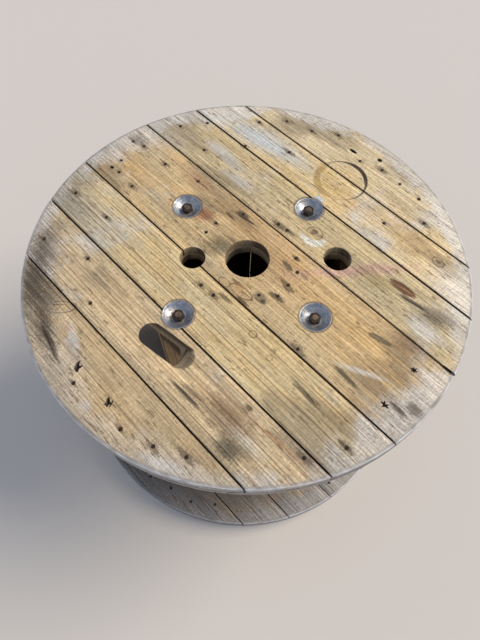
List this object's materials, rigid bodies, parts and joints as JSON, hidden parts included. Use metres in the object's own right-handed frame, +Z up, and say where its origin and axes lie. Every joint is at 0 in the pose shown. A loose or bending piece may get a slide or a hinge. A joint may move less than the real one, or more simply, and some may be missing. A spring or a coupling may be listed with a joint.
{
  "type": "wooden cable drum",
  "caption": "Wooden cable drum with round nailed-board flanges, a staved barrel, tie rods with dished washers, an arbor hole and a slanted cable slot.",
  "frame": {"origin": "centre of the floor face, on the arbor axis", "axes": "+Z up the arbor axis, +X along the boards of the upper face"},
  "size_m": [0.8, 0.7999, 0.55],
  "materials": {
    "face_wood": "sawn pine, weathered, with stains and nail marks",
    "flange_wood": "sawn pine, greyed",
    "stave_wood": "sawn pine, darker in the shade of the flanges",
    "galvanised_steel": "pressed and zinc-coated, bright with dull patches",
    "rusted_steel": "plain steel, dull with brown rust"
  },
  "bodies": {
    "root": {"barrel_stave_1": "stave_wood", "barrel_stave_10": "stave_wood", "barrel_stave_11": "stave_wood", "barrel_stave_12": "stave_wood", "barrel_stave_13": "stave_wood", "barrel_stave_14": "stave_wood", "barrel_stave_2": "stave_wood", "barrel_stave_3": "stave_wood", "barrel_stave_4": "stave_wood", "barrel_stave_5": "stave_wood", "barrel_stave_6": "stave_wood", "barrel_stave_7": "stave_wood", "barrel_stave_8": "stave_wood", "barrel_stave_9": "stave_wood", "lower_back_board_1": "flange_wood", "lower_back_board_2": "flange_wood", "lower_back_board_3": "flange_wood", "lower_back_board_4": "flange_wood", "lower_back_board_5": "flange_wood", "lower_back_board_6": "flange_wood", "lower_back_board_7": "flange_wood", "lower_back_board_8": "flange_wood", "lower_dished_washer_1": "galvanised_steel", "lower_dished_washer_2": "galvanised_steel", "lower_dished_washer_3": "galvanised_steel", "lower_dished_washer_4": "galvanised_steel", "lower_face_board_1": "flange_wood", "lower_face_board_2": "flange_wood", "lower_face_board_3": "flange_wood", "lower_face_board_4": "flange_wood", "lower_face_board_5": "flange_wood", "lower_face_board_6": "flange_wood", "lower_face_board_7": "flange_wood", "lower_rod_nuts": "rusted_steel", "tie_rod_1": "rusted_steel", "tie_rod_2": "rusted_steel", "tie_rod_3": "rusted_steel", "tie_rod_4": "rusted_steel", "upper_back_board_1": "flange_wood", "upper_back_board_2": "flange_wood", "upper_back_board_3": "flange_wood", "upper_back_board_4": "flange_wood", "upper_back_board_5": "flange_wood", "upper_back_board_6": "flange_wood", "upper_back_board_7": "flange_wood", "upper_dished_washer_1": "galvanised_steel", "upper_dished_washer_2": "galvanised_steel", "upper_dished_washer_3": "galvanised_steel", "upper_dished_washer_4": "galvanised_steel", "upper_face_board_1": "face_wood", "upper_face_board_2": "face_wood", "upper_face_board_3": "face_wood", "upper_face_board_4": "face_wood", "upper_face_board_5": "face_wood", "upper_face_board_6": "face_wood", "upper_face_board_7": "face_wood", "upper_rod_nuts": "rusted_steel"}
  },
  "joints": []
}
